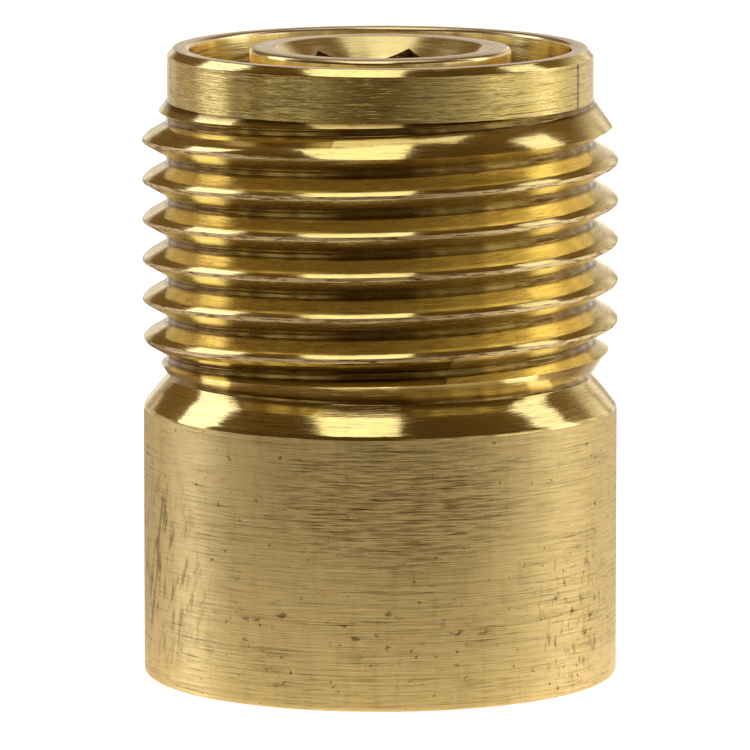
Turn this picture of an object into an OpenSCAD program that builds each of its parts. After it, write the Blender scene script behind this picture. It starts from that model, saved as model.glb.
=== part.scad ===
// Thread adapter, turned from one brass bar.
// A plain body stands on its bottom face at Z = 0, with the axis along Z. A sloping shoulder and a short
// neck lead to the outside thread, which ends in a plain rim. Inside the rim a ring-shaped recess leaves a
// boss in the middle, with a countersunk hexagon socket for a key. A passage runs down from the socket to
// the threaded socket in the bottom face. Both threads are right-hand. Millimetres.

/* [Body] */
// Diameter of the plain body
body_d = 23.8; // [22:0.1:30]
// Height of the body, up to the corner of its shoulder
body_h = 13.6; // [12:0.1:30]
// Radius of the body's bottom edge
foot_r = 0.25; // [0.1:0.05:1]
// Height of the sloping shoulder above the body
shoulder_h = 1.5; // [1:0.1:4]
// Radius of the shoulder's corner
shoulder_r = 0.6; // [0.1:0.1:2]

/* [Outside thread] */
// Diameter over the crests
thread_d = 23.9; // [22.5:0.1:30]
// Distance from one crest to the next
pitch = 2; // [1.75:0.05:3]
// Depth of the groove, from crest to root
thread_depth = 1.2; // [0.6:0.05:1.2]
// Angle between the two flanks of the groove
flank_angle = 60; // [50:1:60]
// Width of the flat that is left on the crest
crest_flat = 0.32; // [0.1:0.02:0.4]
// Length of the threaded stretch, with its run-out and its lead-in
thread_l = 13.75; // [10:0.25:30]
// Diameter of the plain neck under the thread
neck_d = 21.3; // [19:0.1:21.4]
// Height of the plain neck
neck_h = 0.15; // [0.1:0.05:2]
// Height over which the crests rise from the neck
runout_h = 1.85; // [1.2:0.05:4]
// Height of the lead-in chamfer at the thread's upper end
leadin_h = 1.3; // [0.8:0.05:3]
// Direction in which a groove opens into the neck, seen from above
thread_start = 39; // [0:1:359]

/* [Rim and recess] */
// Diameter of the plain rim
rim_d = 21.35; // [20:0.05:21.4]
// Height of the plain rim above the thread
rim_h = 2.6; // [1:0.1:8]
// Thickness of the rim's wall
rim_wall = 1.1; // [0.6:0.1:2]
// Radius of the rim's upper outer edge
rim_r = 0.5; // [0.1:0.05:0.5]
// Depth of the recess, from the rim's upper face
recess_depth = 4; // [2:0.1:6]
// Radius in the recess's two lower corners
recess_r = 0.3; // [0.1:0.05:0.5]

/* [Boss and hexagon] */
// Diameter of the boss
boss_d = 13.1; // [11.5:0.1:15]
// How far the boss's upper face lies below the rim's
boss_drop = 0; // [0:0.1:2]
// Chamfer on the boss's outer edge
boss_chamfer = 0.2; // [0.1:0.05:0.4]
// Diameter of the countersink in the boss
countersink_d = 10.45; // [9.8:0.05:11]
// Angle of the countersink
countersink_angle = 90; // [60:5:120]
// Width of the hexagon across its flats
hex_af = 8.1; // [6:0.1:8.2]
// Depth of the hexagon, from the boss's upper face
hex_depth = 8; // [4:0.5:10]
// Direction of one corner of the hexagon, seen from above
hex_turn = 12; // [0:1:59]

/* [Passage and threaded socket] */
// Diameter of the hole drilled before the hexagon is cut
pilot_d = 7.9; // [7:0.1:8.6]
// How far that hole runs on below the hexagon
pilot_extra = 1.2; // [0.5:0.1:3]
// Diameter of the passage
passage_d = 6.5; // [3:0.1:6.8]
// Core diameter of the threaded socket
socket_d = 14.4; // [10:0.1:16]
// Depth of the threaded socket
socket_depth = 12; // [6:0.5:14]
// Diameter of the socket's mouth, where its chamfer starts
mouth_d = 16.3; // [16.1:0.1:18]
// Angle of the drill's point at the ends of the holes
drill_point = 118; // [90:2:140]

/* [Hidden] */
$fn = 96;

BRASS = [0.76, 0.63, 0.35];
RINGS = 60;             // profiles round the thread, one every 6 degrees
ARC_STEPS = 6;          // straight pieces in a rounded corner of a profile
STEP = 0.05;            // how far the threaded stretch stands out over the neck and the rim at its ends
PAST = 1;               // how far a cut runs on into the open

// Heights, stacked up from the bottom face
neck_z = body_h + shoulder_h;
thread_z = neck_z + neck_h;
rim_z = thread_z + thread_l;
top_z = rim_z + rim_h;
floor_z = top_z - recess_depth;
boss_z = top_z - boss_drop;

// Thread form
crest_r = thread_d / 2;
root_r = crest_r - thread_depth;
flank_h = thread_depth * tan(flank_angle / 2);
root_flat = pitch - crest_flat - 2 * flank_h;
runout_slope = (crest_r - neck_d / 2 - STEP) / runout_h;
leadin_slope = (crest_r - rim_d / 2 - STEP) / leadin_h;

function between(x, low, high) = max(low, min(high, x));

// A corner of a profile at b, between a and c, rounded to radius r
function rounded(a, b, c, r) =
    let (
        to_a = (a - b) / norm(a - b),
        to_c = (c - b) / norm(c - b),
        half = acos(to_a * to_c) / 2,
        centre = b + (to_a + to_c) / norm(to_a + to_c) * r / sin(half),
        from = b + to_a * r / tan(half) - centre,
        to = b + to_c * r / tan(half) - centre,
        sweep = 180 - 2 * half
    )
    [for (i = [0:ARC_STEPS]) let (t = i / ARC_STEPS)
        centre + (from * sin((1 - t) * sweep) + to * sin(t * sweep)) / sin(sweep)];

// The height of a cone that narrows from diameter d to diameter e
function cone_h(d, e, angle) = (d - e) / 2 / tan(angle / 2);

// The turned bar without its thread: body, shoulder, neck and rim
module bar() {
    foot = [body_d / 2, 0];
    shoulder = [body_d / 2, body_h];
    neck = [neck_d / 2, neck_z];
    middle_z = (thread_z + rim_z) / 2;
    rim = [rim_d / 2, top_z];
    rotate_extrude()
        polygon(concat(
            [[0, 0]],
            rounded([0, 0], foot, shoulder, foot_r),
            rounded(foot, shoulder, neck, shoulder_r),
            [neck, [neck.x, middle_z], [rim.x, middle_z]],
            rounded([rim.x, rim_z], rim, [0, top_z], rim_r),
            [[0, top_z]]
        ));
}

// Radius of the threaded stretch before its groove is cut: run-out cone, cylinder and lead-in cone
function runout_r(z) = neck_d / 2 + STEP + (z - thread_z) * runout_slope;
function leadin_r(z) = rim_d / 2 + STEP + (rim_z - z) * leadin_slope;
function uncut_r(z) = min(crest_r, runout_r(z), leadin_r(z));

// The point [radius, height] where a flank of the groove comes out of the uncut surface. It starts from the
// root at height z and runs up (side 1) or down (side -1).
function flank_edge(z, side) =
    let (
        to_runout = (runout_r(z) - root_r) / (thread_depth - side * runout_slope * flank_h),
        to_leadin = (leadin_r(z) - root_r) / (thread_depth + side * leadin_slope * flank_h),
        share = between(min(to_runout, to_leadin), 0, 1)
    )
    [root_r + share * thread_depth, z + side * share * flank_h];

// One turn's groove and the land above it, as points [radius, height] from the groove at height z upwards
function turn_points(z) =
    let (
        low = z - root_flat / 2,
        high = z + root_flat / 2,
        land_from = flank_edge(high, 1),
        land_to = flank_edge(low + pitch, -1),
        corner = z < (thread_z + rim_z) / 2 ? thread_z + runout_h : rim_z - leadin_h,
        land_z = between(corner, land_from.y, land_to.y)
    )
    [flank_edge(low, -1), [root_r, low], [root_r, high], land_from, [uncut_r(land_z), land_z]];

// A point of a profile, kept on or under the uncut surface and between the ends of the threaded stretch
function kept(p) =
    let (
        z = between(p.y, thread_z, rim_z),
        inside = p.y > thread_z && p.y < rim_z
    )
    [inside ? min(p.x, uncut_r(z)) : uncut_r(z), z];

// The threaded stretch. Each ring holds the profile in one direction, and the groove climbs one pitch in a
// full turn, so the last ring joins the first one turn higher up.
module threaded_stretch() {
    turns = ceil(thread_l / pitch) + 4;
    lowest = neck_z + root_flat / 2 - 2 * pitch;
    ring = [for (i = [0:RINGS - 1])
        [for (k = [0:turns - 1]) each turn_points(lowest + pitch * (k + i / RINGS))]];
    per_turn = 5;
    count = per_turn * turns;
    points = [for (i = [0:RINGS - 1], p = ring[i])
        let (a = thread_start + 360 * i / RINGS, q = kept(p))
        [q.x * cos(a), q.x * sin(a), q.y]];
    sides = [for (i = [0:RINGS - 1])
        let (
            last = i == RINGS - 1,
            here = i * count,
            next = last ? per_turn : here + count
        )
        for (j = [0:count - 2 - (last ? per_turn : 0)])
            each [[here + j, here + j + 1, next + j], [here + j + 1, next + j + 1, next + j]]];
    solid_sides = [for (t = sides)
        if (points[t[0]] != points[t[1]] && points[t[1]] != points[t[2]] && points[t[2]] != points[t[0]]) t];
    bottom = [for (i = [0:RINGS - 1]) i * count];
    top = [for (i = [RINGS - 1:-1:0]) i * count + count - 1];
    polyhedron(points, concat(solid_sides, [bottom, top]), convexity = 20);
}

// The ring-shaped recess round the boss, and the space over the boss
module recess() {
    outer_r = rim_d / 2 - rim_wall;
    inner_r = boss_d / 2;
    edge = [inner_r, boss_z];
    above = top_z + PAST;
    rotate_extrude()
        polygon(concat(
            [[0, above], [outer_r, above]],
            rounded([outer_r, above], [outer_r, floor_z], [inner_r, floor_z], recess_r),
            rounded([outer_r, floor_z], [inner_r, floor_z], edge, recess_r),
            [edge - [0, boss_chamfer], edge - [boss_chamfer, 0], [0, boss_z]]
        ));
}

// The threaded socket, the passage, the hole for the hexagon and the countersink, in one turned cut
module holes() {
    chamfer_h = (mouth_d - socket_d) / 2;
    pilot_z = boss_z - hex_depth - pilot_extra;
    countersink_h = cone_h(countersink_d, pilot_d, countersink_angle);
    rotate_extrude()
        polygon([
            [0, -PAST], [mouth_d / 2, -PAST], [mouth_d / 2, 0],
            [socket_d / 2, chamfer_h], [socket_d / 2, socket_depth],
            [passage_d / 2, socket_depth + cone_h(socket_d, passage_d, drill_point)],
            [passage_d / 2, pilot_z - cone_h(pilot_d, passage_d, drill_point)],
            [pilot_d / 2, pilot_z], [pilot_d / 2, boss_z - countersink_h],
            [countersink_d / 2, boss_z], [countersink_d / 2, boss_z + PAST],
            [0, boss_z + PAST]
        ]);
}

// The hexagon socket for the key
module hexagon() {
    translate([0, 0, boss_z - hex_depth])
        rotate([0, 0, hex_turn])
            cylinder(h = hex_depth + PAST, d = hex_af / cos(30), $fn = 6);
}

module adapter() {
    color(BRASS)
        difference() {
            union() {
                bar();
                threaded_stretch();
            }
            recess();
            holes();
            hexagon();
        }
}

adapter();
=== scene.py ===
"""Thread adapter, turned from brass bar: a threaded socket below, and a hexagon socket for a key on top."""
import bpy, bmesh, math
from mathutils import Matrix, Vector


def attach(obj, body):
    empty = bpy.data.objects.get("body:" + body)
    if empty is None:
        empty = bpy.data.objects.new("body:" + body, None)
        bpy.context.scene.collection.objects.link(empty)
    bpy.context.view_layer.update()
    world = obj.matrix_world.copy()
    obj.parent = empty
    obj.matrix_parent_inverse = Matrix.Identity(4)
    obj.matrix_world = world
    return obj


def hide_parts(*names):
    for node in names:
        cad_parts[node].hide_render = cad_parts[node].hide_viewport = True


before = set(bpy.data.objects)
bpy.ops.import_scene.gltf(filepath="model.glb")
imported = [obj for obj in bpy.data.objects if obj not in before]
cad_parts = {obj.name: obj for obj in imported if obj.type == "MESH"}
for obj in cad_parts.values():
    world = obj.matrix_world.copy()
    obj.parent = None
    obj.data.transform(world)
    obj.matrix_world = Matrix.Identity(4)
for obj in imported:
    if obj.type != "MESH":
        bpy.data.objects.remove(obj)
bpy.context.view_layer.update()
MM = 0.001

# ---- sizes of the adapter, in millimetres, all measured from the bottom face and the axis ----
BODY_R, BODY_H = 11.9, 13.6
SHOULDER_R, SHOULDER_Z = 11.2, 14.5     # where the shoulder's two slopes meet
NECK_R, NECK_Z = 10.65, 15.1
THREAD_Z, RIM_Z = 15.25, 28.95          # the two ends of the threaded stretch
CREST_R, ROOT_R = 11.92, 10.73
PITCH = 2.0
STEP_OUT = 0.05                         # how far the threaded stretch stands out over the neck and the rim
RUNOUT_H, LEADIN_H = 1.85, 1.65         # heights of its two end cones
THREAD_START = 39.0                     # degrees from +X where a groove opens into the neck
RIM_R, TOP_Z = 10.675, 31.6
BEVEL_W, BEVEL_H = 0.31, 0.36           # the rim's outer bevel
RECESS_R, FLOOR_Z = 9.575, 27.6
BOSS_R = 6.55
SINK_R, SINK_ANGLE = 5.225, 90
PILOT_R, PILOT_Z, PASSAGE_R = 3.95, 22.4, 3.25
DRILL_POINT = 118                       # full angle of a drill's point, in degrees
HEX_AF, HEX_Z, HEX_TURN = 8.1, 23.6, 12.0
SOCKET_R, SOCKET_Z, MOUTH_R = 7.2, 12.0, 8.15
SOCKET_PITCH, SOCKET_MAJOR_R = 1.5, 8.0
STEPS = 240                             # faces once round the axis
SAME_POINT = 1e-7                       # metres within which two points are one


# ---- modelling helpers ----

def cone_rise(wide, narrow, angle):
    """Height of a drilled cone between two radii, for the full angle of the drill's point."""
    return (wide - narrow) / math.tan(math.radians(angle / 2))


def wire_profile(corners):
    """A closed wire in the XZ plane from (radius, height, rounding) corners. A bevel does the rounding."""
    bm = bmesh.new()
    verts = [bm.verts.new((r * MM, 0, z * MM)) for r, z, _ in corners]
    for a, b in zip(verts, verts[1:] + verts[:1]):
        bm.edges.new((a, b))
    places = [Vector((r, z)) for r, z, _ in corners]
    for i, vert in enumerate(verts):
        rounding = corners[i][2]
        if not rounding:
            continue
        before = (places[i - 1] - places[i]).normalized()
        after = (places[(i + 1) % len(places)] - places[i]).normalized()
        half = before.angle(after) / 2
        bmesh.ops.bevel(bm, geom=[vert], offset=rounding / math.tan(half) * MM, segments=4,
                        profile=0.5, affect="VERTICES", material=-1)
    return bm


def close_up(bm):
    """Merges doubled points and turns every face outwards."""
    bmesh.ops.remove_doubles(bm, verts=bm.verts[:], dist=SAME_POINT)
    bmesh.ops.recalc_face_normals(bm, faces=bm.faces[:])


def as_object(bm, name):
    """A new object in the scene with this mesh."""
    mesh = bpy.data.meshes.new(name)
    bm.to_mesh(mesh)
    bm.free()
    obj = bpy.data.objects.new(name, mesh)
    bpy.context.scene.collection.objects.link(obj)
    return obj


def turned_blank():
    """The bar as the lathe leaves it, with every hole drilled and neither thread cut."""
    socket_top = SOCKET_Z + cone_rise(SOCKET_R, PASSAGE_R, DRILL_POINT)
    pilot_low = PILOT_Z - cone_rise(PILOT_R, PASSAGE_R, DRILL_POINT)
    sink_low = TOP_Z - cone_rise(SINK_R, PILOT_R, SINK_ANGLE)
    corners = [
        (MOUTH_R, 0, 0.06), (BODY_R, 0, 0.25), (BODY_R, BODY_H, 0.5), (SHOULDER_R, SHOULDER_Z, 2.5),
        (NECK_R, NECK_Z, 0.08), (NECK_R, THREAD_Z, 0), (NECK_R + STEP_OUT, THREAD_Z, 0),
        (CREST_R, THREAD_Z + RUNOUT_H, 0.2), (CREST_R, RIM_Z - LEADIN_H, 0.2),
        (RIM_R + STEP_OUT, RIM_Z, 0.03), (RIM_R, RIM_Z, 0.02), (RIM_R, TOP_Z - BEVEL_H, 0.08),
        (RIM_R - BEVEL_W, TOP_Z, 0.06), (RECESS_R, TOP_Z, 0.18), (RECESS_R, FLOOR_Z, 0.3),
        (BOSS_R, FLOOR_Z, 0.3), (BOSS_R, TOP_Z, 0.22), (SINK_R, TOP_Z, 0.06),
        (PILOT_R, sink_low, 0.05), (PILOT_R, PILOT_Z, 0), (PASSAGE_R, pilot_low, 0),
        (PASSAGE_R, socket_top, 0), (SOCKET_R, SOCKET_Z, 0), (SOCKET_R, MOUTH_R - SOCKET_R, 0.05),
    ]
    bm = wire_profile(corners)
    bmesh.ops.spin(bm, geom=bm.verts[:] + bm.edges[:], cent=(0, 0, 0), axis=(0, 0, 1), dvec=(0, 0, 0),
                   angle=math.tau, steps=STEPS, use_merge=True)
    close_up(bm)
    return as_object(bm, "brass_adapter")


def screw_cutter(corners, pitch, low, high, start, name):
    """The path of a threading tool: its profile, given about height 0, carried up a right-hand screw."""
    bm = wire_profile(corners)
    place = Matrix.Rotation(math.radians(start), 4, "Z") @ Matrix.Translation((0, 0, low * MM))
    bmesh.ops.transform(bm, matrix=place, verts=bm.verts[:])
    bmesh.ops.spin(bm, geom=bm.verts[:] + bm.edges[:], cent=(0, 0, 0), axis=(0, 0, 1),
                   dvec=(0, 0, pitch * MM / STEPS), angle=math.tau, steps=STEPS)
    one_turn = bm.verts[:] + bm.edges[:] + bm.faces[:]
    for turn in range(1, math.ceil((high - low) / pitch)):
        copied = bmesh.ops.duplicate(bm, geom=one_turn)["geom"]
        points = [part for part in copied if isinstance(part, bmesh.types.BMVert)]
        bmesh.ops.translate(bm, verts=points, vec=(0, 0, pitch * turn * MM))
    bmesh.ops.remove_doubles(bm, verts=bm.verts[:], dist=SAME_POINT)
    bmesh.ops.holes_fill(bm, edges=[edge for edge in bm.edges if edge.is_boundary], sides=0)
    close_up(bm)
    return as_object(bm, name)


def outside_groove():
    """The outside thread's groove, with flanks of 60 degrees. It also rolls over each crest's upper edge."""
    half_root = 0.165
    slope = math.tan(math.radians(30))
    high_mouth = half_root + (CREST_R - ROOT_R) * slope
    high_wall = high_mouth + 0.05       # the cutter's own upper wall, clear of the mouth
    edge_w, edge_h = 0.03, 0.02         # the small bevel on the crest's lower edge
    roll = 0.28                         # width and height of the crest's rolled upper edge
    roll_r = CREST_R - roll
    low_edge = half_root + (roll_r - ROOT_R) * slope
    low_mouth = low_edge + roll
    low_wall = low_mouth + 0.03
    out = CREST_R + 1
    run_up = 21.0                       # degrees the cutter turns before its groove opens into the neck
    low, high = THREAD_Z - PITCH * run_up / 360, RIM_Z + 0.8
    corners = [
        (ROOT_R, -half_root, 0.1), (ROOT_R, half_root, 0.1), (CREST_R - edge_w, high_mouth - edge_h, 0),
        (CREST_R, high_mouth + edge_h, 0), (CREST_R, high_wall, 0), (out, high_wall, 0),
        (out, -low_wall, 0), (CREST_R, -low_wall, 0), (CREST_R, -low_mouth, 0.05), (roll_r, -low_edge, 1.0),
    ]
    return screw_cutter(corners, PITCH, low, high, THREAD_START - run_up, "outside_groove")


def socket_groove():
    """The inside thread's groove, from below the bottom face to just short of the socket's end."""
    half_mouth, half_root = 0.5625, 0.1
    inner = SOCKET_R - 0.3
    low, high = -0.9, 10.8
    corners = [
        (inner, -half_mouth, 0), (SOCKET_R, -half_mouth, 0), (SOCKET_MAJOR_R, -half_root, 0.06),
        (SOCKET_MAJOR_R, half_root, 0.06), (SOCKET_R, half_mouth, 0), (inner, half_mouth, 0),
    ]
    return screw_cutter(corners, SOCKET_PITCH, low, high, 0, "socket_groove")


def key_cutter():
    """The hexagon, from its floor to 1 mm over the boss."""
    bm = bmesh.new()
    height = TOP_Z + 1 - HEX_Z
    radius = HEX_AF / 2 / math.cos(math.radians(30))
    place = (Matrix.Translation((0, 0, (HEX_Z + height / 2) * MM))
             @ Matrix.Rotation(math.radians(HEX_TURN + 30), 4, "Z"))
    bmesh.ops.create_cone(bm, cap_ends=True, segments=6, radius1=radius * MM, radius2=radius * MM,
                          depth=height * MM, matrix=place)
    close_up(bm)
    return as_object(bm, "key_cutter")


def cut(blank, cutters):
    """Takes each cutter out of the blank and leaves one plain mesh."""
    for cutter in cutters:
        step = blank.modifiers.new(cutter.name, "BOOLEAN")
        step.operation, step.solver, step.object = "DIFFERENCE", "MANIFOLD", cutter
    graph = bpy.context.evaluated_depsgraph_get()
    mesh = bpy.data.meshes.new_from_object(blank.evaluated_get(graph))
    blank.modifiers.clear()
    old, blank.data = blank.data, mesh
    bpy.data.meshes.remove(old)
    for cutter in cutters:
        bpy.data.objects.remove(cutter)


adapter = turned_blank()
cut(adapter, [outside_groove(), socket_groove(), key_cutter()])
adapter.data.shade_smooth()
adapter.data.set_sharp_from_angle(angle=math.radians(32))
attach(adapter, "root")
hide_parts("adapter")


# ---- materials ----

# the inputs of a mix node: how far it goes from A to B, and the two ends as numbers and as colours
SHARE, A_NUMBER, B_NUMBER, A_COLOUR, B_COLOUR = 0, 2, 3, 6, 7
PALE_LINE = "#FFEDB8"                   # freshly cut metal, where a tool line is clean and bright


def linear(code):
    """An sRGB hex colour as linear RGBA."""
    parts = [int(code[i:i + 2], 16) / 255 for i in (1, 3, 5)]
    return [c / 12.92 if c <= 0.04045 else ((c + 0.055) / 1.055) ** 2.4 for c in parts] + [1.0]


def add(tree, kind, inputs=None, **settings):
    """Adds one node with its settings. An input is a value, an output, or a node for its first output."""
    node = tree.nodes.new(kind)
    for key, value in settings.items():
        setattr(node, key, value)
    for key, value in (inputs or {}).items():
        if isinstance(value, bpy.types.Node):
            value = next(socket for socket in value.outputs if socket.enabled)
        if isinstance(value, bpy.types.NodeSocket):
            tree.links.new(value, node.inputs[key])
        else:
            node.inputs[key].default_value = value
    return node


def new_material(name):
    """A material and its empty node tree."""
    material = bpy.data.materials.new(name)
    material.use_nodes = True
    material.node_tree.nodes.clear()
    return material, material.node_tree


def from_axis(tree):
    """Distance from the adapter's axis."""
    coord = add(tree, "ShaderNodeTexCoord")
    flat = add(tree, "ShaderNodeVectorMath", {0: coord.outputs["Object"], 1: (1, 1, 0)}, operation="MULTIPLY")
    return add(tree, "ShaderNodeVectorMath", {0: flat}, operation="LENGTH")


def turned_lines(tree, gap, length, seed=0.0, detail=2.0, waver=0.0):
    """Noise drawn out into rings round the axis: gap across the rings and length along them, in mm."""
    coord = add(tree, "ShaderNodeTexCoord")
    across, along = 1 / (gap * MM), 1 / (length * MM)
    vector = add(tree, "ShaderNodeVectorMath", {0: coord.outputs["Object"], 1: (along, along, across)},
                 operation="MULTIPLY")
    ring = add(tree, "ShaderNodeMath", {0: from_axis(tree), 1: across, 2: seed}, operation="MULTIPLY_ADD")
    return add(tree, "ShaderNodeTexNoise", {
        "Vector": vector, "W": ring, "Scale": 1.0, "Detail": detail, "Roughness": 0.6,
        "Distortion": waver}, noise_dimensions="4D")


def mottle(tree, size, seed=0.0, detail=3.0, stretch=(1, 1, 1), turn=(0, 0, 0)):
    """Soft blotches of one size in mm, which may be stretched and slanted."""
    coord = add(tree, "ShaderNodeTexCoord")
    place = add(tree, "ShaderNodeMapping", {
        0: coord.outputs["Object"], "Scale": stretch, "Rotation": turn, "Location": (0, 0, seed * MM)},
        vector_type="TEXTURE")
    return add(tree, "ShaderNodeTexNoise", {
        "Vector": place, "Scale": 1 / (size * MM), "Detail": detail, "Roughness": 0.6})


def near_place(tree, degrees, height, width, tall, radius=BODY_R):
    """1 at a place on a round side, fading to 0 at the distances width and tall from it, in mm. The place is
    given by degrees round from the front, counted to the right, and by height."""
    coord = add(tree, "ShaderNodeTexCoord")
    angle = math.radians(degrees)
    centre = (radius * math.sin(angle) * MM, -radius * math.cos(angle) * MM, height * MM)
    away = add(tree, "ShaderNodeVectorMath", {0: coord.outputs["Object"], 1: centre}, operation="SUBTRACT")
    reach = (1 / (width * MM), 1 / (width * MM), 1 / (tall * MM))
    scaled = add(tree, "ShaderNodeVectorMath", {0: away, 1: reach}, operation="MULTIPLY")
    distance = add(tree, "ShaderNodeVectorMath", {0: scaled}, operation="LENGTH")
    return add(tree, "ShaderNodeMapRange", {
        "Value": distance, "From Min": 0.4, "From Max": 1.0, "To Min": 1.0, "To Max": 0.0},
        interpolation_type="SMOOTHSTEP")


def peaks(tree, pattern, low, high, most=1.0, within=None):
    """Where a pattern is high: 0 below one level and the most above another, held within a mask if given."""
    mask = add(tree, "ShaderNodeMapRange", {
        "Value": pattern, "From Min": low, "From Max": high, "To Max": most})
    if within is not None:
        mask = add(tree, "ShaderNodeMath", {0: mask, 1: within}, operation="MULTIPLY")
    return mask


def either(tree, *masks):
    """Masks laid over one another."""
    total = masks[0]
    for mask in masks[1:]:
        total = add(tree, "ShaderNodeMath", {0: total, 1: mask}, operation="ADD", use_clamp=True)
    return total


def handling_marks(tree):
    """What dulls the body: slanting rubs on the left, blotches on the right and low in front, streaks of
    tarnish higher up, and faint smears and dark specks all round."""
    slanted = mottle(tree, 0.33, seed=5.0, detail=4.0, stretch=(1, 1, 6), turn=(0.28, 0, 0))
    left = peaks(tree, slanted, 0.52, 0.66, within=near_place(tree, -68, height=6.0, width=6.0, tall=6.0))
    blotches = mottle(tree, 0.35, seed=9.0, stretch=(1, 1, 2))
    right = peaks(tree, blotches, 0.55, 0.68, within=near_place(tree, 55, height=4.0, width=4.0, tall=4.6))
    specks = peaks(tree, mottle(tree, 0.36, seed=31.0, detail=1.0), 0.72, 0.77)
    streaks = turned_lines(tree, 0.06, 1.3, seed=19.0, detail=3.0, waver=0.15)
    tarnish = peaks(tree, streaks, 0.46, 0.6, within=near_place(tree, 4, height=10.5, width=8.5, tall=5.0))
    smears = peaks(tree, mottle(tree, 0.5, seed=14.0, stretch=(1, 1, 5)), 0.52, 0.78, most=0.2)
    blots = mottle(tree, 0.45, seed=23.0, detail=2.0, stretch=(2, 2, 1))
    low_blots = peaks(tree, blots, 0.62, 0.70, within=near_place(tree, -8, height=3.4, width=11.0, tall=3.6))
    return either(tree, left, right, specks, tarnish, smears, low_blots)


def rim_dent_shade(tree):
    """Painted shade of the narrow upright dent near the rim's right end: only a dark mark, with no dent in
    the shape.
    """
    return near_place(tree, 66.5, height=30.2, width=0.22, tall=3.2, radius=RIM_R)


def groove_shade_and_swarf(tree):
    """Painted shade and swarf in the outside thread: the root painted dark as its shade, fading out 0.22 mm
    above it, and two clots of swarf.
    """
    # painted shade: darker towards the thread's root
    root_shade = add(tree, "ShaderNodeMapRange", {
        "Value": from_axis(tree), "From Min": (ROOT_R + 0.02) * MM, "From Max": (ROOT_R + 0.22) * MM,
        "To Min": 1.0, "To Max": 0.0})
    crumbs = mottle(tree, 0.16, seed=2.0)
    clots = either(tree, near_place(tree, -52, height=26.9, width=1.1, tall=0.5),
                   near_place(tree, 60, height=25.7, width=0.8, tall=0.5))
    return either(tree, root_shade, peaks(tree, crumbs, 0.45, 0.55, within=clots))


def dark_lines(tree, gap, length, darkness):
    """Tool lines dark with dried oil, thick in some patches and thin in others. A few run far round."""
    lines = turned_lines(tree, gap * 1.1, length * 0.8, seed=19.0, detail=3.0, waver=0.15)
    patches = mottle(tree, 4.0, seed=3.0)
    thick = add(tree, "ShaderNodeMapRange", {
        "Value": patches, "From Min": 0.35, "From Max": 0.6, "To Min": 0.35})
    far = turned_lines(tree, gap * 1.3, length * 4, seed=71.0, detail=1.0, waver=0.1)
    return either(tree, peaks(tree, lines, 0.54, 0.66, darkness, thick),
                  peaks(tree, far, 0.60, 0.66, 0.7 * darkness, thick),
                  peaks(tree, patches, 0.4, 0.8, 0.15 * darkness))


def line_relief(tree, gap, length, depth):
    """The tool's lines as relief: fine ones, broad ones and a few long cuts."""
    fine = turned_lines(tree, gap, length)
    broad = turned_lines(tree, gap * 3, length * 3, seed=7.0)
    cut_lines = turned_lines(tree, gap * 2.5, length * 5, seed=43.0, detail=1.0, waver=0.1)
    cuts = add(tree, "ShaderNodeMath", {0: peaks(tree, cut_lines, 0.68, 0.72), 1: -0.8, 2: fine},
               operation="MULTIPLY_ADD")
    height = add(tree, "ShaderNodeMath", {0: broad, 1: cuts}, operation="ADD")
    return add(tree, "ShaderNodeBump", {"Strength": 1.0, "Distance": depth * MM, "Height": height})


def brass(name, colour, stain, roughness, spread, gap, length, depth, lines, marks=None, amount=0.0):
    """Brass with turning lines: their gap, length and depth of relief in mm, and how dark they are. Spread is
    how far they draw out what is mirrored. The marks are more stain, laid on by an amount."""
    material, tree = new_material(name)
    cover = dark_lines(tree, gap, length, lines)
    if marks:
        stained = add(tree, "ShaderNodeMath", {0: marks(tree), 1: amount}, operation="MULTIPLY")
        cover = either(tree, cover, stained)
    pale = peaks(tree, turned_lines(tree, gap, length, seed=61.0), 0.56, 0.68, lines)
    long_pale = peaks(tree, turned_lines(tree, gap, length * 9, seed=83.0, detail=1.0), 0.70, 0.74, lines)
    bright = add(tree, "ShaderNodeMix", {
        SHARE: either(tree, pale, long_pale), A_COLOUR: linear(colour), B_COLOUR: linear(PALE_LINE)},
        data_type="RGBA")
    tint = add(tree, "ShaderNodeMix", {
        SHARE: cover, A_COLOUR: bright, B_COLOUR: linear(stain)}, data_type="RGBA")
    rough = add(tree, "ShaderNodeMapRange", {
        "Value": turned_lines(tree, gap, length), "From Min": 0.3, "From Max": 0.7,
        "To Min": roughness - 0.07, "To Max": roughness + 0.07})
    around = add(tree, "ShaderNodeTangent", direction_type="RADIAL", axis="Z")
    shader = add(tree, "ShaderNodeBsdfPrincipled", {
        "Base Color": tint, "Metallic": 1.0, "Roughness": rough, "Anisotropic": spread,
        "Anisotropic Rotation": 0.25, "Normal": line_relief(tree, gap, length, depth), "Tangent": around})
    add(tree, "ShaderNodeOutputMaterial", {"Surface": shader})
    return material


def torn_edge_brass():
    """Crests torn by the tool. Their burrs are too fine to show, so longer dark streaks are painted in as
    their shade.
    """
    material, tree = new_material("torn_edge_brass")
    grain = turned_lines(tree, 0.05, 0.8, detail=4.0)
    height = add(tree, "ShaderNodeMath", {0: mottle(tree, 0.09, detail=2.0), 1: grain}, operation="ADD")
    relief = add(tree, "ShaderNodeBump", {"Strength": 1.0, "Distance": 0.006 * MM, "Height": height})
    # painted shade: the dark streaks in the colour stand for the shade of the burrs
    tint = add(tree, "ShaderNodeMix", {
        SHARE: peaks(tree, grain, 0.50, 0.60), A_COLOUR: linear("#F6DCA4"), B_COLOUR: linear("#7E5C26")},
        data_type="RGBA")
    shader = add(tree, "ShaderNodeBsdfPrincipled", {
        "Base Color": tint, "Metallic": 1.0, "Roughness": 0.42, "Normal": relief})
    add(tree, "ShaderNodeOutputMaterial", {"Surface": shader})
    return material


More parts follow.
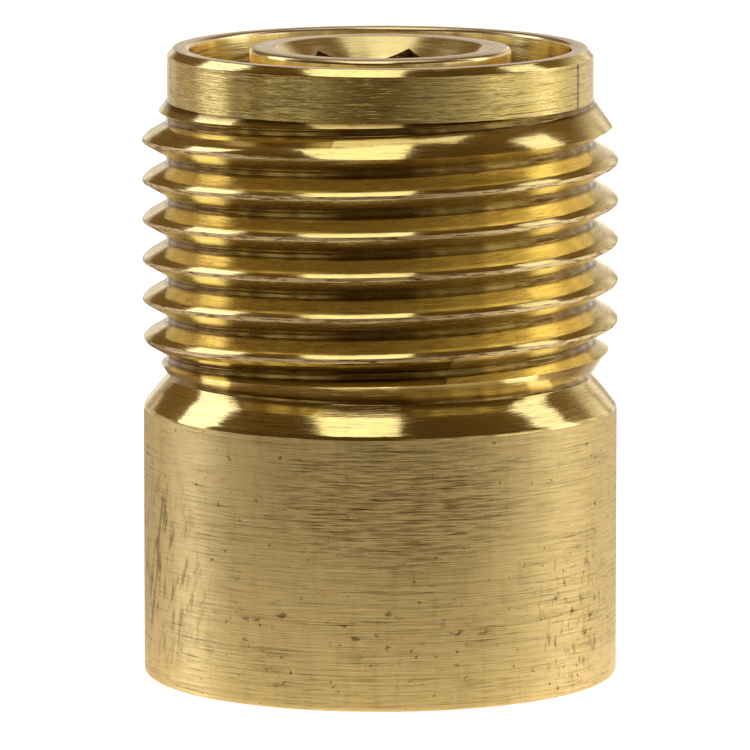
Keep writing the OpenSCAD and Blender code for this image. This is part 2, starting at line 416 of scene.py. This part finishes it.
def finishes():
    """The ways the one bar was cut. Feed lines finer than 0.05 mm are drawn coarser, so that they show."""
    return [
        # a fast turned side: close feed lines spread the light up and down, so the body looks satin
        brass("turned_brass", "#F8DF9A", "#6A4712", roughness=0.55, spread=0.50,
              gap=0.055, length=2.0, depth=0.036, lines=0.50, marks=handling_marks, amount=0.6),
        # flanks cut with a fine threading tool: near mirrors, so they show the lamps as sharp patches;
        # painted shade darkens their roots
        brass("thread_cut_brass", "#E9D284", "#6A4E1C", roughness=0.13, spread=0.30,
              gap=0.07, length=1.2, depth=0.0015, lines=0.35, marks=groove_shade_and_swarf, amount=0.85),
        # faced with a sharp tool: smooth, with rings too fine to feel
        brass("faced_brass", "#F0DCA4", "#A07838", roughness=0.24, spread=0.30,
              gap=0.07, length=2.0, depth=0.0015, lines=0.3),
        # the rim was turned to its smaller diameter in one coarse pass: rough streaks along the cut, and a
        # dent's painted shade
        brass("turned_rim_brass", "#E0C878", "#46300F", roughness=0.22, spread=0.60,
              gap=0.055, length=1.5, depth=0.034, lines=0.62, marks=rim_dent_shade, amount=0.6),
        # the holes, the inside thread and the bottom face: duller, with wider rings, and a darker colour
        # painted as the shade deep in the holes
        brass("drilled_brass", "#B59246", "#5E4418", roughness=0.30, spread=0.20,
              gap=0.12, length=2.0, depth=0.0030, lines=0.6),
        torn_edge_brass(),
        # the lower flanks, where the tool chattered: streaks along the groove break up what they mirror;
        # their paler colour is painted light, as these flanks face down
        brass("chatter_marked_brass", "#FDE8A0", "#7A5624", roughness=0.23, spread=0.40,
              gap=0.06, length=1.0, depth=0.010, lines=0.4),
        # countersunk with a slower, rougher tool: its cone glows softly instead of mirroring
        brass("countersunk_brass", "#F8E49C", "#A07838", roughness=0.22, spread=0.30,
              gap=0.07, length=2.0, depth=0.0015, lines=0.3),
        # the hexagon was broached: its walls are painted dark, as the shade deep in the socket
        brass("broached_brass", "#7A5820", "#3A2208", roughness=0.35, spread=0.20,
              gap=0.12, length=2.0, depth=0.0030, lines=0.6),
        # the shoulder and the rim's bevel, cut with the tool's corner: open rings that fray what they mirror
        brass("cornered_brass", "#EED688", "#5A3A12", roughness=0.12, spread=0.30,
              gap=0.06, length=1.0, depth=0.004, lines=0.5),
        # the ring-shaped recess was bored with a sharp tool: its walls mirror the lamps in long soft marks
        brass("bored_brass", "#F2DA8E", "#6E4A1C", roughness=0.15, spread=0.30,
              gap=0.07, length=2.0, depth=0.0020, lines=0.45),
    ]


def finish_at(x, y, z, up):
    """The name of a face's finish, by where it lies in mm and how far it faces up. The small margins take in
    or leave out rounded edges."""
    r = math.hypot(x, y)
    outside = r > RECESS_R + 0.3
    upright = abs(up) < 0.3
    body_top = BODY_H - 0.1
    on_thread = outside and THREAD_Z < z < RIM_Z
    if outside and 0.02 < z < body_top:
        return "turned_brass"
    if on_thread and r > CREST_R - 0.06:
        return "torn_edge_brass"
    if outside and body_top <= z < NECK_Z and up > 0.3:
        return "cornered_brass"
    if on_thread and z > THREAD_Z + RUNOUT_H + 0.05 and up < -0.4:
        return "chatter_marked_brass"
    if outside and body_top <= z < RIM_Z + 0.05:
        return "thread_cut_brass"
    if outside and RIM_Z < z < TOP_Z - BEVEL_H - 0.02:
        return "turned_rim_brass"
    if r > RIM_R - BEVEL_W - 0.04 and z > RIM_Z:
        return "cornered_brass"
    if upright and HEX_Z < z < TOP_Z - 0.3 and r < SINK_R - 0.2:
        return "broached_brass"
    if 0.3 < up < 0.95 and r < SINK_R + 0.02 and z > TOP_Z - 1.4:
        return "countersunk_brass"
    if upright and BOSS_R - 0.1 < r < RECESS_R + 0.1 and FLOOR_Z < z < TOP_Z - 0.15:
        return "bored_brass"
    if z > PILOT_Z + 3 and (r > HEX_AF / 2 or z > TOP_Z - 1.3):
        return "faced_brass"
    return "drilled_brass"


def dress(piece):
    """Gives each face the finish of the place where it lies."""
    piece.data.materials.clear()
    for finish in finishes():
        piece.data.materials.append(finish)
    slots = {material.name: i for i, material in enumerate(piece.data.materials)}
    for face in piece.data.polygons:
        x, y, z = (c / MM for c in face.center)
        face.material_index = slots[finish_at(x, y, z, face.normal.z)]


dress(adapter)


# ---- floor, surroundings, lamps and camera ----

def by_ray(tree, mirrored, seen, kind="FLOAT"):
    """One number or colour for what the brass mirrors or is lit by, and another for what the camera sees."""
    ray = add(tree, "ShaderNodeLightPath")
    ends = (A_COLOUR, B_COLOUR) if kind == "RGBA" else (A_NUMBER, B_NUMBER)
    return add(tree, "ShaderNodeMix", {
        SHARE: ray.outputs["Is Camera Ray"], ends[0]: mirrored, ends[1]: seen}, data_type=kind)


def studio_floor():
    """The camera sees a white floor. The brass sees a dark glossy one that glows warm round the adapter."""
    bm = bmesh.new()
    bmesh.ops.create_grid(bm, x_segments=1, y_segments=1, size=3.0)
    floor = as_object(bm, "studio_floor")
    material, tree = new_material("white_acrylic")
    coord = add(tree, "ShaderNodeTexCoord")
    off = add(tree, "ShaderNodeVectorMath", {0: coord.outputs["Object"]}, operation="LENGTH")
    near = add(tree, "ShaderNodeMapRange", {
        "Value": off, "From Min": 0.013, "From Max": 0.030, "To Min": 0.50, "To Max": 0.02})
    far = add(tree, "ShaderNodeMapRange", {
        "Value": off, "From Min": 0.02, "From Max": 0.13, "To Min": 0.86, "To Max": 1.0})
    paper = add(tree, "ShaderNodeBsdfDiffuse", {"Color": by_ray(tree, 0.10, 0.6)})
    gloss = add(tree, "ShaderNodeBsdfGlossy", {"Color": by_ray(tree, 1.1, 0.0), "Roughness": 0.03})
    light = add(tree, "ShaderNodeEmission", {
        "Color": by_ray(tree, (1, 0.93, 0.79, 1), (1, 1, 1, 1), "RGBA"), "Strength": by_ray(tree, near, far)})
    sheet = add(tree, "ShaderNodeAddShader", {0: paper, 1: gloss})
    lit = add(tree, "ShaderNodeAddShader", {0: sheet, 1: light})
    add(tree, "ShaderNodeOutputMaterial", {"Surface": lit})
    floor.data.materials.append(material)


def low_band(tree, direction):
    """The pale wall low round the studio: dark behind the camera, taller and lighter on the right, uneven."""
    apart = add(tree, "ShaderNodeSeparateXYZ", {0: direction})
    height = add(tree, "ShaderNodeMath", {0: apart.outputs["Z"]}, operation="ABSOLUTE")
    top = add(tree, "ShaderNodeMapRange", {
        "Value": apart.outputs["X"], "From Min": -0.15, "From Max": 0.25, "To Min": 0.22, "To Max": 0.56})
    low = add(tree, "ShaderNodeMapRange", {
        "Value": height, "From Min": 0.16, "From Max": top, "To Min": 1.0, "To Max": 0.0},
        interpolation_type="SMOOTHSTEP")
    past_camera = add(tree, "ShaderNodeMapRange", {
        "Value": apart.outputs["Y"], "From Min": -0.985, "From Max": -0.72, "To Min": 0.03, "To Max": 0.64},
        interpolation_type="SMOOTHSTEP")
    to_back = add(tree, "ShaderNodeMapRange", {
        "Value": apart.outputs["Y"], "From Min": -0.5, "From Max": 0.2, "To Min": 0.0, "To Max": -0.18})
    far_end = add(tree, "ShaderNodeMapRange", {
        "Value": apart.outputs["Y"], "From Min": 0.93, "From Max": 1.0, "To Min": 0.0, "To Max": 0.2})
    round_front = add(tree, "ShaderNodeMath", {0: past_camera, 1: to_back}, operation="ADD")
    all_round = add(tree, "ShaderNodeMath", {0: round_front, 1: far_end}, operation="ADD")
    round_right = add(tree, "ShaderNodeMapRange", {
        "Value": apart.outputs["X"], "From Min": -0.6, "From Max": 0.6, "To Min": 0.85, "To Max": 1.25})
    panels = add(tree, "ShaderNodeVectorMath", {0: direction, 1: (1, 1, 0)}, operation="MULTIPLY")
    uneven = add(tree, "ShaderNodeTexNoise", {"Vector": panels, "Scale": 6.0, "Detail": 1.0})
    patchy = add(tree, "ShaderNodeMapRange", {
        "Value": uneven, "From Min": 0.40, "From Max": 0.60, "To Min": 0.45, "To Max": 1.55})
    strength = all_round
    for part in (round_right, patchy, low):
        strength = add(tree, "ShaderNodeMath", {0: strength, 1: part}, operation="MULTIPLY")
    return strength


def surroundings():
    """What the brass mirrors past the lamps: a dim warm room with a pale band. The camera sees white."""
    world = bpy.data.worlds.new("white_studio")
    bpy.context.scene.world = world
    world.use_nodes = True
    tree = world.node_tree
    tree.nodes.clear()
    direction = add(tree, "ShaderNodeTexCoord").outputs["Generated"]
    apart = add(tree, "ShaderNodeSeparateXYZ", {0: direction})
    behind = add(tree, "ShaderNodeMapRange", {
        "Value": apart.outputs["Y"], "From Min": -0.6, "From Max": 0.7, "To Min": 0.42, "To Max": 1.0},
        interpolation_type="SMOOTHSTEP")
    dim = add(tree, "ShaderNodeVectorMath", {0: (0.175, 0.105, 0.042), "Scale": behind}, operation="SCALE")
    lit = add(tree, "ShaderNodeVectorMath", {0: dim, 1: low_band(tree, direction)}, operation="ADD")
    back = add(tree, "ShaderNodeBackground", {
        "Color": by_ray(tree, lit, (1, 1, 1, 1), "RGBA"), "Strength": 1.0})
    add(tree, "ShaderNodeOutputWorld", {"Surface": back})


def softbox(name, centre, across, up, radiance, colour=(1, 1, 1)):
    """An oblong lamp, given by its centre and its two sides in metres; radiance 1 shows as white."""
    across, up = Vector(across), Vector(up)
    width, height = across.length, up.length
    x = across.normalized()
    y = (up - up.dot(x) * x).normalized()
    z = x.cross(y)
    if z.dot(Vector(centre)) < 0:       # a lamp shines along its own -Z, which faces the adapter
        x, z = -x, -z
    lamp = bpy.data.lights.new(name, "AREA")
    lamp.shape, lamp.size, lamp.size_y = "RECTANGLE", width, height
    lamp.energy = radiance * math.pi * width * height
    lamp.color = colour
    obj = bpy.data.objects.new(name, lamp)
    bpy.context.scene.collection.objects.link(obj)
    obj.matrix_world = Matrix.Translation(centre) @ Matrix((x, y, z)).transposed().to_4x4()
    obj.visible_camera = False


def studio_lamps():
    """Two cool lamps at the sides, a little behind the adapter, and two white ones above it."""
    softbox("left_softbox", centre=(-0.189, 0.080, 0.119), across=(0.053, -0.117, -0.021),
            up=(0.102, 0.051, 0.127), radiance=1.68, colour=(0.93, 1.0, 1.26))
    softbox("right_softbox", centre=(0.185, 0.050, 0.125), across=(0.036, 0.073, 0.0),
            up=(-0.06, 0.04, 0.19), radiance=1.36, colour=(0.96, 1.0, 1.14))
    softbox("front_softbox", centre=(-0.03, -0.085, 0.21), across=(0.112, 0, 0),
            up=(0, 0.15, 0), radiance=1.4)
    softbox("overhead_softbox", centre=(0, 0.07, 0.24), across=(0.15, 0, 0),
            up=(0, 0.15, 0), radiance=0.9)


def camera():
    """A long lens, 8.4 degrees above the horizon, straight at the adapter's front."""
    rise = math.radians(8.4)
    aim, distance = Vector((-0.263, 0, 15.02)) * MM, 0.4129
    lens = bpy.data.cameras.new("camera")
    lens.lens, lens.sensor_width = 394.0, 36.0
    lens.clip_start, lens.clip_end = 0.02, 20
    obj = bpy.data.objects.new("camera", lens)
    bpy.context.scene.collection.objects.link(obj)
    back = Vector((0, -math.cos(rise), math.sin(rise)))
    obj.location = aim + back * distance
    obj.rotation_euler = (-back).to_track_quat("-Z", "Y").to_euler()
    bpy.context.scene.camera = obj


studio_floor()
surroundings()
studio_lamps()
camera()
bpy.context.scene.view_settings.view_transform = "Standard"
